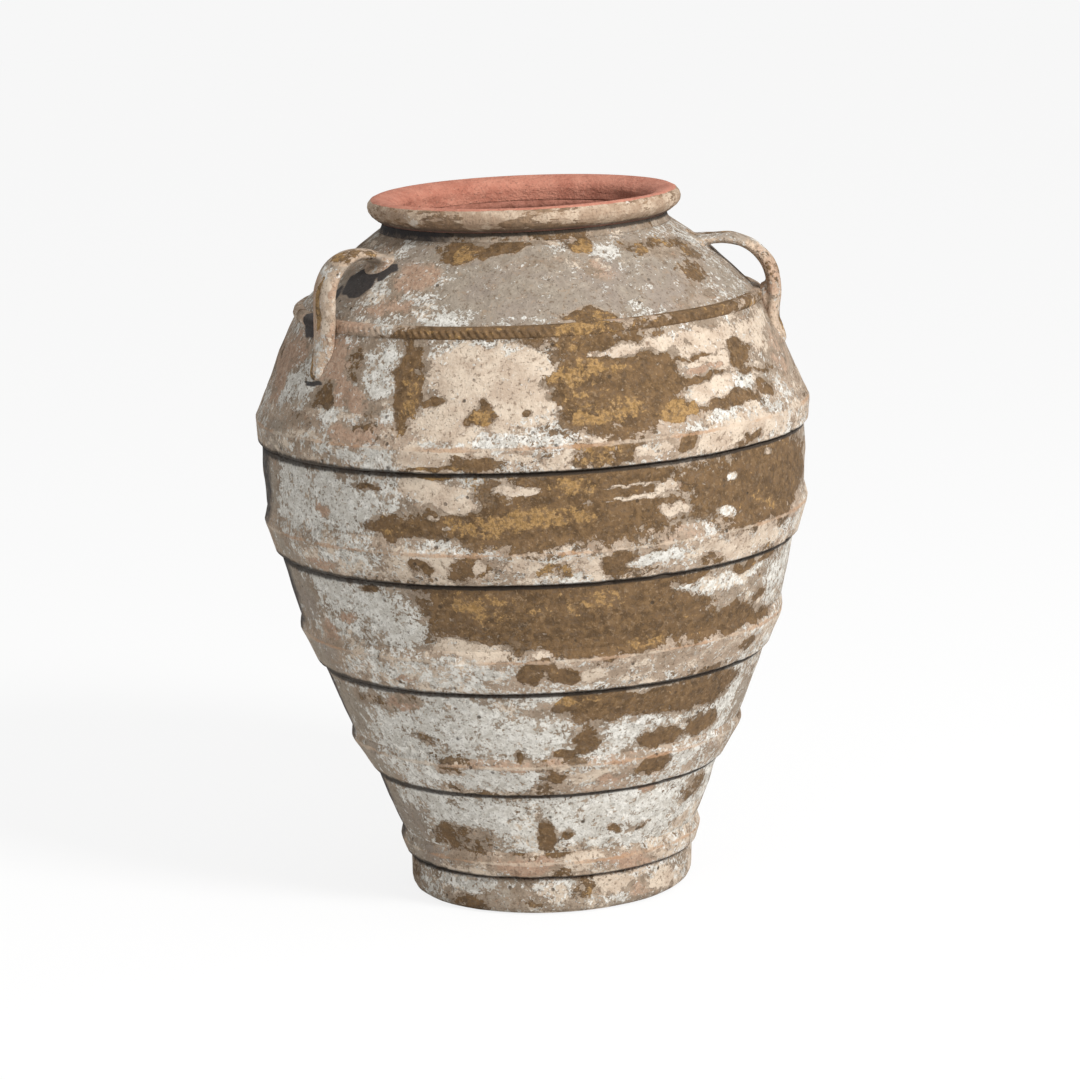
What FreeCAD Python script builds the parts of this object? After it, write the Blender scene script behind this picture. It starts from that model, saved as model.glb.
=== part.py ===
import FreeCAD, Part
import math
import os

import Sketcher

# A large terracotta storage jar of the kind built up by hand in rings. Each clay piece that the
# potter makes is its own solid: a base disc, six wall rings, the shoulder, neck and rim rings, the
# belts that cover the wall joints, a rope-marked cordon and three strap handles.
# Millimetres, +Z up, the origin at the centre of the foot. A profile is (radius, height) about +Z.

DIMENSIONS = [
    # overall form
    ("jar_height", 880, "foot to the top of the rim"),
    ("wall_thickness", 20, "fired thickness of the wall"),
    ("wall_bow", 1.2, "outward bow of a wall ring between two belts"),
    ("scarf_rise", 8, "how far a wall joint climbs from outside to inside"),
    # foot
    ("disc_radius", 150, "base disc"),
    ("disc_thickness", 24, "base disc"),
    ("foot_radius", 177, "outside of the foot at the ground"),
    ("foot_round", 16, "rounding of the foot's lower edge"),
    # shoulder, neck and rim
    ("cordon_radius", 287, "corner between the upper wall and the shoulder"),
    ("cordon_height", 745, "the same corner"),
    ("shoulder_bow", 3, "outward bow of the shoulder"),
    ("shoulder_top_radius", 181, "foot of the neck"),
    ("shoulder_top_height", 839, "foot of the neck"),
    ("shoulder_throat_height", 831, "lower edge of the throat"),
    ("neck_radius", 178, "narrowest outside of the neck"),
    ("neck_height", 850, "top of the neck, under the rim"),
    ("throat_radius", 157, "the jar's opening"),
    ("rim_radius", 194.5, "outside of the rolled rim"),
    ("rim_roll_height", 864, "lower corner of the roll"),
    ("rim_inner_height", 874, "inner corner of the rim's top"),
    ("rim_crown_radius", 178, "where the rim's top levels out"),
    ("rim_crown_round", 40, "rounding of the crown"),
    ("rim_outer_round", 10, "rounding of the rim's outer top edge"),
    ("rim_inner_round", 10, "rounding of the rim's inner top edge"),
    ("rim_under_round", 6, "rounding of the roll's lower edge"),
    # cordon
    ("cordon_proud", 5.5, "how far the cordon stands out"),
    ("cordon_above", 8.5, "height of its upper edge above the corner"),
    ("cordon_below", 8, "height of its lower edge below the corner"),
    # belts
    ("lip_overhang", 4.5, "how far a belt's lip stands out from the wall under it"),
    ("lip_hook", 2, "how far the lip hangs below its root"),
    ("lip_round", 2.2, "rounding of the lip"),
    ("crest_round", 5, "rounding of the crest"),
    # handles
    ("strap_width", 44, "across the strap"),
    ("strap_thickness", 16, "through the strap"),
    ("left_bend", 48, "radius of the left strap's bend, at its middle"),
    ("left_bend_out", 246, "centre of that bend, from the jar's axis"),
    ("left_bend_up", 779, "centre of that bend, from the floor"),
    ("left_rise", 25, "slope of the left strap's upper run, degrees"),
    ("right_bend", 60, "the same four of the right strap"),
    ("right_bend_out", 245, "centre of its bend, from the jar's axis"),
    ("right_bend_up", 755, "centre of its bend, from the floor"),
    ("right_rise", 5, "slope of its upper run, degrees"),
    ("back_bend", 57, "the same four of the back strap"),
    ("back_bend_out", 246, "centre of its bend, from the jar's axis"),
    ("back_bend_up", 760, "centre of its bend, from the floor"),
    ("back_rise", 8, "slope of its upper run, degrees"),
    ("strap_root_radius", 200, "where the strap starts, inside the shoulder"),
    ("strap_end_radius", 303, "where the strap ends, inside the upper wall"),
    ("strap_end_height", 704, "where the strap ends, inside the upper wall"),
    ("tail_height", 713, "middle of the tail that is pressed down on the upper wall"),
    ("tail_length", 68, "of that tail, down the wall"),
    ("tail_width", 34, "of that tail"),
    ("tail_thickness", 23, "of that tail"),
    ("pad_radius", 214, "middle of the pad that roots the strap in the shoulder"),
    ("pad_width", 64, "of that pad, round the jar"),
    ("pad_length", 48, "of that pad, down the shoulder"),
    ("pad_thickness", 14, "of that pad"),
    ("left_turn", -146, "handle's turn about the jar's axis, from +X, degrees"),
    ("right_turn", -6, "the same"),
    ("back_turn", 104, "the same"),
]

# Each belt from the foot up: the radius and height of its lip, its crest and its feathered top edge.
BELTS = [
    (183, 51, 190, 69, 187, 84),
    (222.5, 165, 246.5, 205, 245.5, 217),
    (285, 307, 304.5, 349, 302, 364),
    (326.5, 448, 340.5, 487, 336, 507),
    (343, 587, 345.5, 615, 328.5, 652),
]
BELT_CELLS = ("lip_r", "lip_z", "crest_r", "crest_z", "top_r", "top_z")

doc = FreeCAD.newDocument("storage_jar")
sheet = doc.addObject("Spreadsheet::Sheet", "dims")
subparts = []


def fill_sheet():
    cells = list(DIMENSIONS)
    for number, sizes in enumerate(BELTS, 1):
        for cell, size in zip(BELT_CELLS, sizes):
            cells.append((f"belt{number}_{cell}", size, f"belt {number} from the foot"))
    for row, (alias, value, note) in enumerate(cells, 1):
        sheet.set(f"A{row}", alias)
        sheet.set(f"B{row}", str(value))
        sheet.setAlias(f"B{row}", alias)
        sheet.set(f"C{row}", note)
    doc.recompute()


def value(expression):
    """The number that an expression on the sheet gives now."""
    return float(sheet.evalExpression(expression))


def named(obj, label):
    """Gives a finished piece the name that its file takes."""
    obj.Label = label
    subparts.append(obj)
    return obj


def cell(alias):
    return f"<<dims>>.{alias}"


def belt_seat(number):
    """The two ends of the cone that belt NUMBER sits on: its foot and its top, as expressions."""
    foot = (
        f"{cell(f'belt{number}_lip_r')} - {cell('lip_overhang')}",
        f"{cell(f'belt{number}_lip_z')} + {cell('lip_hook')}",
    )
    top = (cell(f"belt{number}_top_r"), cell(f"belt{number}_top_z"))
    return foot, top


def joint(number):
    """Where the wall rings meet under belt NUMBER: the outer and the inner end of the scarf."""
    foot, top = belt_seat(number)
    middle = tuple(f"(({low}) + ({high})) / 2" for low, high in zip(foot, top))
    inner = (
        f"{middle[0]} - {cell('wall_thickness')}",
        f"{middle[1]} + {cell('scarf_rise')}",
    )
    return middle, inner


def plane(body, role):
    return next(f for f in body.Origin.OriginFeatures if f.Role == role)


def sketch_on(body, name, role):
    sketch = body.newObject("Sketcher::SketchObject", name)
    sketch.AttachmentSupport = [(plane(body, role), "")]
    sketch.MapMode = "FlatFace"
    return sketch


def bind(sketch, kind, items, expression, name):
    """Adds a driving constraint at its present size and ties it to the sheet."""
    index = sketch.addConstraint(Sketcher.Constraint(kind, *items, value(expression)))
    sketch.renameConstraint(index, name)
    sketch.setExpression(f"Constraints.{name}", expression)


def add_bowed(sketch, start, end, bow):
    """An arc from START to END that stands BOW to the right of its chord, as (edge, first, last)."""
    across = FreeCAD.Vector(end.y - start.y, start.x - end.x, 0).normalize()
    middle = (start + end) / 2 + across * bow
    edge = sketch.addGeometry(Part.ArcOfCircle(start, middle, end), False)
    reversed_ends = (sketch.Geometry[edge].StartPoint - start).Length > 1e-6
    return (edge, 2, 1) if reversed_ends else (edge, 1, 2)


def closed_profile(body, name, corners, bows=None):
    """A closed outline of CORNERS, (radius, height) expressions. BOWS gives an edge's bow by its number."""
    bows = bows or {}
    sketch = sketch_on(body, name, "XZ_Plane")
    points = [FreeCAD.Vector(value(r), value(z), 0) for r, z in corners]
    edges = []
    for i, start in enumerate(points):
        end = points[(i + 1) % len(points)]
        if i in bows:
            edges.append(add_bowed(sketch, start, end, value(bows[i])))
        else:
            edges.append((sketch.addGeometry(Part.LineSegment(start, end), False), 1, 2))
    for i, (edge, first, last) in enumerate(edges):
        following, its_first, _ = edges[(i + 1) % len(edges)]
        sketch.addConstraint(Sketcher.Constraint("Coincident", edge, last, following, its_first))
        radius, height = corners[i]
        bind(sketch, "DistanceX", (-1, 1, edge, first), radius, f"radius_{i}")
        if abs(value(height)) > 1e-9:
            bind(sketch, "DistanceY", (-1, 1, edge, first), height, f"height_{i}")
        else:
            sketch.addConstraint(Sketcher.Constraint("PointOnObject", edge, first, -1))
        if i in bows:
            (r0, z0), (r1, z1) = corners[i], corners[(i + 1) % len(corners)]
            chord = f"((({r1}) - ({r0})) ^ 2 + (({z1}) - ({z0})) ^ 2)"
            bind(sketch, "Radius", (edge,), f"{chord} / (8 * {bows[i]}) + {bows[i]} / 2", f"bow_{i}")
    return sketch


def turned(label, corners, bows=None, rounds=()):
    """A ring of clay: a profile turned about +Z. ROUNDS are (radius, height, size) of edges to round."""
    body = doc.addObject("PartDesign::Body", label)
    sketch = closed_profile(body, f"{label}_profile", corners, bows)
    ring = body.newObject("PartDesign::Revolution", f"{label}_ring")
    ring.Profile = sketch
    ring.ReferenceAxis = (sketch, ["V_Axis"])
    ring.Angle = 360
    body.Tip = ring
    doc.recompute()
    for number, (radius, height, size) in enumerate(rounds):
        rounded = body.newObject("PartDesign::Fillet", f"{label}_round_{number}")
        rounded.Base = (ring, [edge_at(ring.Shape, value(radius), value(height))])
        rounded.setExpression("Radius", size)
        doc.recompute()
        ring = rounded
    body.Tip = ring
    return named(body, label)


def edge_at(shape, radius, height):
    """The name of the circular edge about +Z with this radius at this height."""
    for number, edge in enumerate(shape.Edges, 1):
        if isinstance(edge.Curve, Part.Circle):
            off = abs(edge.Curve.Radius - radius) + abs(edge.Curve.Center.z - height)
            if off < 0.01 and math.hypot(edge.Curve.Center.x, edge.Curve.Center.y) < 0.01:
                return f"Edge{number}"
    raise ValueError(f"no edge at radius {radius}, height {height}")


def base_disc():
    """The slab of clay that the jar is built on."""
    body = doc.addObject("PartDesign::Body", "base_disc")
    sketch = sketch_on(body, "base_disc_outline", "XY_Plane")
    circle = sketch.addGeometry(Part.Circle(FreeCAD.Vector(), FreeCAD.Vector(0, 0, 1), 1), False)
    sketch.addConstraint(Sketcher.Constraint("Coincident", circle, 3, -1, 1))
    bind(sketch, "Radius", (circle,), cell("disc_radius"), "disc")
    slab = body.newObject("PartDesign::Pad", "base_disc_slab")
    slab.Profile = sketch
    slab.setExpression("Length", cell("disc_thickness"))
    body.Tip = slab
    return named(body, "base_disc")


def foot_wall():
    """The lowest ring: it stands round the base disc and rises to the first belt."""
    foot, _ = belt_seat(1)
    outer, inner = joint(1)
    inside = f"{cell('foot_radius')} - {cell('wall_thickness')}"
    return turned(
        "foot_wall",
        [
            (cell("disc_radius"), "0"),
            (cell("foot_radius"), "0"),
            foot,
            outer,
            inner,
            (inside, cell("disc_thickness")),
            (cell("disc_radius"), cell("disc_thickness")),
        ],
        rounds=[(cell("foot_radius"), "0", cell("foot_round"))],
    )


def wall_ring(number):
    """The ring between belt NUMBER and the next one up, scarfed to its neighbours under both belts."""
    _, seat_top = belt_seat(number)
    next_foot, _ = belt_seat(number + 1)
    outer_low, inner_low = joint(number)
    outer_high, inner_high = joint(number + 1)
    return turned(
        f"wall_ring_{number}",
        [outer_low, seat_top, next_foot, outer_high, inner_high, inner_low],
        bows={1: cell("wall_bow")},
    )


def cordon_seat():
    """The three points that the cordon sits on: up the shoulder, the corner, and down the wall."""
    corner = (cell("cordon_radius"), cell("cordon_height"))
    up = (
        f"{cell('cordon_radius')} - {cell('cordon_above')}",
        f"{cell('cordon_height')} + {cell('cordon_above')}",
    )
    down = (
        f"{cell('cordon_radius')} + {cell('cordon_below')} / 2",
        f"{cell('cordon_height')} - {cell('cordon_below')}",
    )
    return up, corner, down


def shoulder_joint_inside():
    """The inner end of the joint between the upper wall and the shoulder."""
    return (
        f"{cell('cordon_radius')} - {cell('wall_thickness')}",
        f"{cell('cordon_height')} - {cell('scarf_rise')} / 2",
    )


def upper_wall():
    """The ring from the widest belt up to the shoulder's corner."""
    _, seat_top = belt_seat(5)
    outer_low, inner_low = joint(5)
    _, corner, down = cordon_seat()
    return turned(
        "wall_ring_5",
        [outer_low, seat_top, down, corner, shoulder_joint_inside(), inner_low],
        bows={1: f"2 * {cell('wall_bow')}"},
    )


def shoulder():
    """The sloping ring between the cordon and the neck."""
    up, corner, _ = cordon_seat()
    return turned(
        "shoulder",
        [
            corner,
            up,
            (cell("shoulder_top_radius"), cell("shoulder_top_height")),
            (cell("throat_radius"), cell("shoulder_top_height")),
            (cell("throat_radius"), cell("shoulder_throat_height")),
            shoulder_joint_inside(),
        ],
        bows={1: cell("shoulder_bow")},
    )


def neck():
    """The short collar between the shoulder and the rim."""
    return turned(
        "neck_ring",
        [
            (cell("throat_radius"), cell("shoulder_top_height")),
            (cell("shoulder_top_radius"), cell("shoulder_top_height")),
            (cell("neck_radius"), cell("neck_height")),
            (cell("throat_radius"), cell("neck_height")),
        ],
    )


def rim():
    """The coil that is rolled outwards to make the rim."""
    return turned(
        "rim",
        [
            (cell("throat_radius"), cell("neck_height")),
            (cell("neck_radius"), cell("neck_height")),
            (cell("rim_radius"), cell("rim_roll_height")),
            (cell("rim_radius"), cell("jar_height")),
            (cell("rim_crown_radius"), cell("jar_height")),
            (cell("throat_radius"), cell("rim_inner_height")),
        ],
        rounds=[
            (cell("rim_radius"), cell("rim_roll_height"), cell("rim_under_round")),
            (cell("throat_radius"), cell("rim_inner_height"), cell("rim_inner_round")),
            (cell("rim_radius"), cell("jar_height"), cell("rim_outer_round")),
            (cell("rim_crown_radius"), cell("jar_height"), cell("rim_crown_round")),
        ],
    )


def belt(number):
    """A strip of clay pressed over a wall joint: a crest above, a lip that hangs over the wall below."""
    foot, top = belt_seat(number)
    crest = (cell(f"belt{number}_crest_r"), cell(f"belt{number}_crest_z"))
    lip = (cell(f"belt{number}_lip_r"), cell(f"belt{number}_lip_z"))
    return turned(
        f"belt_{number}",
        [foot, lip, crest, top],
        rounds=[(*crest, cell("crest_round")), (*lip, cell("lip_round"))],
    )


def cordon():
    """The thin cordon on the shoulder's corner, over the last wall joint."""
    up, corner, down = cordon_seat()
    out = f"{cell('cordon_radius')} + {cell('cordon_proud')}"
    upper = (out + " - 2", f"{cell('cordon_height')} + {cell('cordon_above')} / 2")
    lower = (out, f"{cell('cordon_height')} - {cell('cordon_below')} / 2")
    return turned(
        "shoulder_cordon",
        [corner, down, lower, upper, up],
        rounds=[(*upper, "3"), (*lower, "3")],
    )


def strap_path(body, side):
    """The strap's middle line in its own plane: out of the shoulder, over the bend, down to the wall."""
    path = sketch_on(body, f"handle_{side}_path", "XZ_Plane")
    centre = FreeCAD.Vector(value(cell(f"{side}_bend_out")), value(cell(f"{side}_bend_up")), 0)
    bend = value(cell(f"{side}_bend"))
    rise = value(cell(f"{side}_rise"))
    last = math.radians(90 + rise)
    over = centre + FreeCAD.Vector(math.cos(last), math.sin(last), 0) * bend
    down = centre + FreeCAD.Vector(bend, 0, 0)
    root_radius = value(cell("strap_root_radius"))
    root_drop = (over.x - root_radius) * math.tan(math.radians(rise))
    root = FreeCAD.Vector(root_radius, over.y - root_drop, 0)
    end = FreeCAD.Vector(value(cell("strap_end_radius")), value(cell("strap_end_height")), 0)
    upper = path.addGeometry(Part.LineSegment(root, over), False)
    circle = Part.Circle(centre, FreeCAD.Vector(0, 0, 1), bend)
    arc = path.addGeometry(Part.ArcOfCircle(circle, 0, last), False)
    lower = path.addGeometry(Part.LineSegment(down, end), False)
    path.addConstraint(Sketcher.Constraint("Tangent", upper, 2, arc, 2))
    path.addConstraint(Sketcher.Constraint("Tangent", arc, 1, lower, 1))
    bind(path, "DistanceX", (-1, 1, arc, 3), cell(f"{side}_bend_out"), "bend_out")
    bind(path, "DistanceY", (-1, 1, arc, 3), cell(f"{side}_bend_up"), "bend_up")
    bind(path, "Radius", (arc,), cell(f"{side}_bend"), "bend")
    bind(path, "DistanceX", (-1, 1, upper, 1), cell("strap_root_radius"), "root_out")
    bind(path, "DistanceX", (-1, 1, lower, 2), cell("strap_end_radius"), "end_out")
    bind(path, "DistanceY", (-1, 1, lower, 2), cell("strap_end_height"), "end_up")
    index = path.addConstraint(Sketcher.Constraint("Angle", upper, math.radians(rise)))
    path.renameConstraint(index, "rise")
    path.setExpression("Constraints.rise", f"{cell(f'{side}_rise')} * 1 deg")
    return path, root


def strap_section(body, side, root):
    """The strap's oval section, square to the path's start."""
    section = body.newObject("Sketcher::SketchObject", f"handle_{side}_section")
    section.AttachmentSupport = [(plane(body, "YZ_Plane"), "")]
    section.MapMode = "FlatFace"
    tilt = FreeCAD.Rotation(FreeCAD.Vector(1, 0, 0), -value(cell(f"{side}_rise")))
    section.AttachmentOffset = FreeCAD.Placement(FreeCAD.Vector(0, root.y, root.x), tilt)
    half_width = value(cell("strap_width")) / 2
    half_thickness = value(cell("strap_thickness")) / 2
    oval = Part.Ellipse(FreeCAD.Vector(half_width, 0, 0), FreeCAD.Vector(0, half_thickness, 0), FreeCAD.Vector())
    section.addGeometry(oval, False)
    section.exposeInternalGeometry(0)
    section.addConstraint(Sketcher.Constraint("Coincident", 0, 3, -1, 1))
    section.addConstraint(Sketcher.Constraint("Horizontal", 1))
    bind(section, "Distance", (1,), cell("strap_width"), "width")
    bind(section, "Distance", (2,), cell("strap_thickness"), "thickness")
    return section


def pressed_clay(body, label, name, line, height):
    """A low oval lump of clay pressed on to the jar at HEIGHT. LINE is two points down the surface."""
    (r0, z0), (r1, z1) = [(value(r), value(z)) for r, z in line]
    radius = r0 + (r1 - r0) * (z0 - height) / (z0 - z1)
    lean = FreeCAD.Rotation(FreeCAD.Vector(0, 1, 0), -math.degrees(math.atan2(r1 - r0, z0 - z1)))
    lump = body.newObject("PartDesign::AdditiveEllipsoid", f"{label}_{name}")
    lump.AttachmentSupport = [(plane(body, "XY_Plane"), "")]
    lump.MapMode = "FlatFace"
    lump.AttachmentOffset = FreeCAD.Placement(FreeCAD.Vector(radius, 0, height), lean)
    lump.setExpression("Radius1", f"{cell(f'{name}_length')} / 2")
    lump.setExpression("Radius2", f"{cell(f'{name}_thickness')} / 2")
    lump.setExpression("Radius3", f"{cell(f'{name}_width')} / 2")
    lump.Angle1, lump.Angle2, lump.Angle3 = -90, 90, 360
    body.Tip = lump


def handle(side, walls):
    """A strap handle, luted to the shoulder by a pad and to the wall by its pressed-down tail."""
    label = f"handle_{side}"
    body = doc.addObject("PartDesign::Body", f"{label}_clay")
    path, root = strap_path(body, side)
    section = strap_section(body, side, root)
    strap = body.newObject("PartDesign::AdditivePipe", f"{label}_strap")
    strap.Profile = section
    strap.Spine = (path, ["Edge1", "Edge2", "Edge3"])
    body.Tip = strap
    doc.recompute()
    up, corner, down = cordon_seat()
    neck_foot = (cell("shoulder_top_radius"), cell("shoulder_top_height"))
    _, wall_foot = belt_seat(5)
    pressed_clay(body, label, "tail", (down, wall_foot), value(cell("tail_height")))
    slope = f"({neck_foot[1]} - ({up[1]})) / (({up[0]}) - {neck_foot[0]})"
    pad_height = value(f"{neck_foot[1]} - ({cell('pad_radius')} - {neck_foot[0]}) * {slope}")
    pressed_clay(body, label, "pad", (neck_foot, up), pad_height)
    body.Placement.Rotation = FreeCAD.Rotation(FreeCAD.Vector(0, 0, 1), value(cell(f"{side}_turn")))
    doc.recompute()
    luted = doc.addObject("Part::Cut", label)
    luted.Base = body
    luted.Tool = walls
    return named(luted, label)


def check_and_write():
    doc.recompute()
    failed = [o.Name for o in doc.Objects if "Invalid" in o.State or "Error" in o.State]
    if failed:
        raise RuntimeError(f"these objects failed: {failed}")
    os.makedirs("parts", exist_ok=True)
    for old in os.listdir("parts"):
        os.remove(os.path.join("parts", old))
    for piece in subparts:
        shape = piece.Shape
        if shape.isNull() or not shape.isValid() or len(shape.Solids) != 1:
            raise RuntimeError(f"{piece.Label} isn't one valid solid")
        shape.exportStep(f"parts/{piece.Label}.step")
        box = shape.BoundBox
        print(f"{piece.Label}: {shape.Volume / 1e3:.1f} cm3, z {box.ZMin:.1f} to {box.ZMax:.1f}")


fill_sheet()
base_disc()
foot_wall()
for ring_number in range(1, 5):
    wall_ring(ring_number)
upper_ring = upper_wall()
shoulder_ring = shoulder()
neck()
rim()
for belt_number in range(1, 6):
    belt(belt_number)
cordon_ring = cordon()
luting_walls = doc.addObject("Part::MultiFuse", "luting_walls")
luting_walls.Shapes = [upper_ring, shoulder_ring, cordon_ring]
doc.recompute()
for handle_side in ("left", "right", "back"):
    handle(handle_side, luting_walls)
check_and_write()
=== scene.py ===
import math
from types import SimpleNamespace

import bmesh
import bpy
import numpy as np
from mathutils import Matrix, Vector, noise


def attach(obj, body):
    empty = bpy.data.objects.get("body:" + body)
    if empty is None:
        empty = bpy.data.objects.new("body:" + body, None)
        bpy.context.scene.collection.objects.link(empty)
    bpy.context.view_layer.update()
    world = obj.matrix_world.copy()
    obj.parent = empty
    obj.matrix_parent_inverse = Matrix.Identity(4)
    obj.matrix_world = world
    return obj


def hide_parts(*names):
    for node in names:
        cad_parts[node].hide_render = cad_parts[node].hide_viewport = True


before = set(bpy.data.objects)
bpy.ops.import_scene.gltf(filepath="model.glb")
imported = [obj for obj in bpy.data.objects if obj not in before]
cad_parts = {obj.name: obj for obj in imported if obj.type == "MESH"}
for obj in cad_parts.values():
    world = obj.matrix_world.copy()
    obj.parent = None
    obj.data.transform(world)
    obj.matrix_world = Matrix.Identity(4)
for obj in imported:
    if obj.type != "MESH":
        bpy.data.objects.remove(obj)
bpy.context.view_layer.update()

# ----------------------------------------
# Foot. The potter starts on a flat slab and lays the first wall ring round it. Both are coarse,
# open-bodied terracotta. The slab is never seen from outside; the ring's lower edge is worn round.

# What the weather has left on the clay, with painted shade as the last covering. Each covering is a share
# from 0 to 1 at every point, and each kind of patch lays the coverings in its own shares.
COVERINGS = ("slip", "lime", "brown", "ochre", "pink", "grey", "shade_patch")
LAYS = {
    "slip": (0.9, 0, 0, 0, 0, 0, 0),
    "lime": (0.35, 0.85, 0, 0, 0, 0.15, 0),
    "chalk": (0.75, 0.62, 0, 0, 0, 0, 0),
    "brown": (0, 0, 0.88, 0.15, 0, 0, 0),
    "ochre": (0, 0, 0.88, 1, 0, 0, 0),
    "pink": (0, 0, 0, 0, 1, 0, 0),
    "grey": (0, 0, 0, 0, 0, 1, 0),
    "shade_patch": (0, 0, 0, 0, 0, 0.5, 1),
}

# A ring is one sector, doubled this many times. Points closer than SAME_POINT metres are one point.
DOUBLINGS = 4
SAME_POINT = 0.00001


def turn(outline, around=720, fine=0.003):
    """A ring of clay as a bmesh: an outline turned about the jar's axis. OUTLINE holds (radius, height,
    spacing): the spacing, in units of FINE metres, of the rows between that corner and the next. One
    sector is spun, then doubled until it closes."""
    bm = bmesh.new()
    corners = [bm.verts.new((r / 1000, 0, z / 1000)) for r, z, _ in outline]
    sides = [bm.edges.new((corners[i - 1], corners[i])) for i in range(1, len(corners))]
    sides.append(bm.edges.new((corners[-1], corners[0])))
    for side, (_, _, spacing) in zip(sides, outline):
        cuts = int(side.calc_length() / (fine * spacing))
        if cuts:
            bmesh.ops.subdivide_edges(bm, edges=[side], cuts=cuts)
    sectors = 2**DOUBLINGS
    sector = math.tau / sectors
    profile = bm.verts[:] + bm.edges[:]
    steps = around // sectors
    bmesh.ops.spin(bm, geom=profile, cent=(0, 0, 0), axis=(0, 0, 1), angle=sector, steps=steps)
    for doubling in range(DOUBLINGS):
        twin = bmesh.ops.duplicate(bm, geom=bm.verts[:] + bm.edges[:] + bm.faces[:])["geom"]
        points = [part for part in twin if isinstance(part, bmesh.types.BMVert)]
        onward = Matrix.Rotation(sector * 2**doubling, 3, "Z")
        bmesh.ops.rotate(bm, verts=points, cent=(0, 0, 0), matrix=onward)
    bmesh.ops.remove_doubles(bm, verts=bm.verts[:], dist=SAME_POINT)
    bmesh.ops.recalc_face_normals(bm, faces=bm.faces[:])
    return bm


CELLS = 64
LATTICE = np.random.default_rng(880).random((CELLS, CELLS, CELLS)).astype(np.float32) * 2 - 1


def drift(points, size, seed=0, octaves=1):
    """Smooth chance variation from about -1 to 1 at each point, with features of SIZE metres."""
    seed_shift, octave_shift, fading, spread = 17.3, 5.1, 0.55, 1.3
    total = np.zeros(len(points), np.float32)
    share, whole = 1.0, 0.0
    for octave in range(octaves):
        place = points / size * 2**octave + (seed_shift * seed + octave_shift * octave)
        low = np.floor(place)
        blend = place - low
        blend = blend * blend * (3 - 2 * blend)
        low = low.astype(np.int64)
        for corner in range(8):
            step = np.array((corner & 1, corner >> 1 & 1, corner >> 2))
            weight = np.where(step, blend, 1 - blend).prod(axis=1)
            total += share * weight * LATTICE[tuple(((low + step) % CELLS).T)]
        whole += share
        share *= fading
    return total / whole * spread


def spots(mesh):
    """The mesh's points as an array."""
    co = np.empty(len(mesh.vertices) * 3)
    mesh.vertices.foreach_get("co", co)
    return co.reshape(-1, 3)


# The marks of the potter's hands, each with its breadth and depth in metres: broad swells, level finger
# marks and dimples, then the chips and waves within RIDGE_REACH millimetres of a ridge.
SWELL, SWELL_DEPTH = 0.17, 0.0013
FINGER, FINGER_DEPTH, FINGER_FLAT = 0.06, 0.0007, 2.2
DIMPLE, DIMPLE_DEPTH = 0.016, 0.0003
CHIP, CHIP_DEPTH, CHIP_RARITY = 0.022, 0.006, 0.25
WAVE, WAVE_DEPTH = 0.1, 0.0016
RIDGE_REACH = 9
AXIS_REACH = 0.001


def shape_by_hand(mesh, ridges=(), wear=0.0):
    """Moves each point in or out as the potter's hands left it. RIDGES are heights in millimetres whose
    edges wave and are chipped by WEAR. Every piece uses one field, so neighbours still meet."""
    co = spots(mesh)
    r = np.maximum(np.hypot(co[:, 0], co[:, 1]), 1e-6)
    push = drift(co, SWELL, 1) * SWELL_DEPTH
    push = push + drift(co * (1, 1, FINGER_FLAT), FINGER, 2) * FINGER_DEPTH
    push = push + drift(co, DIMPLE, 3) * DIMPLE_DEPTH
    drop = np.zeros(len(co))
    for ridge in ridges:
        near = (1 - np.abs(co[:, 2] * 1000 - ridge) / RIDGE_REACH).clip(0, 1)
        level = co * (1, 1, 0) + (0, 0, ridge)
        push -= near * wear * (drift(level, CHIP, 4, 2) - CHIP_RARITY).clip(0, 1) * CHIP_DEPTH
        drop += near * drift(level, WAVE, 5, 2) * WAVE_DEPTH
    push[r < AXIS_REACH] = 0
    co[:, :2] *= (1 + push / r)[:, None]
    co[:, 2] += drop
    mesh.vertices.foreach_set("co", co.ravel())
    mesh.update()


# Coverings vary in blotches. A patch's edge strays and frays, by so many degrees and millimetres.
BLOTCH, BLOTCH_FLAT, BLOTCH_SHARE = 0.1, 1.6, 0.5
STRAY, STRAY_ROUND, STRAY_UP = 0.05, 2.6, 9
FRAY, FRAY_ROUND, FRAY_UP = 0.015, 1.1, 4.5

# A patch is full to PATCH_CORE of its half sizes and gone at PATCH_EDGE. Wear with a painted highlight, and
# painted shade, reach this many millimetres from a ridge or a groove, and the painted shade further round
# the lee side, away from the lamp, in degrees from the front.
PATCH_EDGE, PATCH_CORE = 1.48, 0.53
WEAR_AND_HIGHLIGHT_REACH = 5
GROOVE_SHADE_REACH, LEE_SHADE_WIDENING = 6.8, 7
LEE_SIDE, LEE_SPREAD = -78, 50


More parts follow.
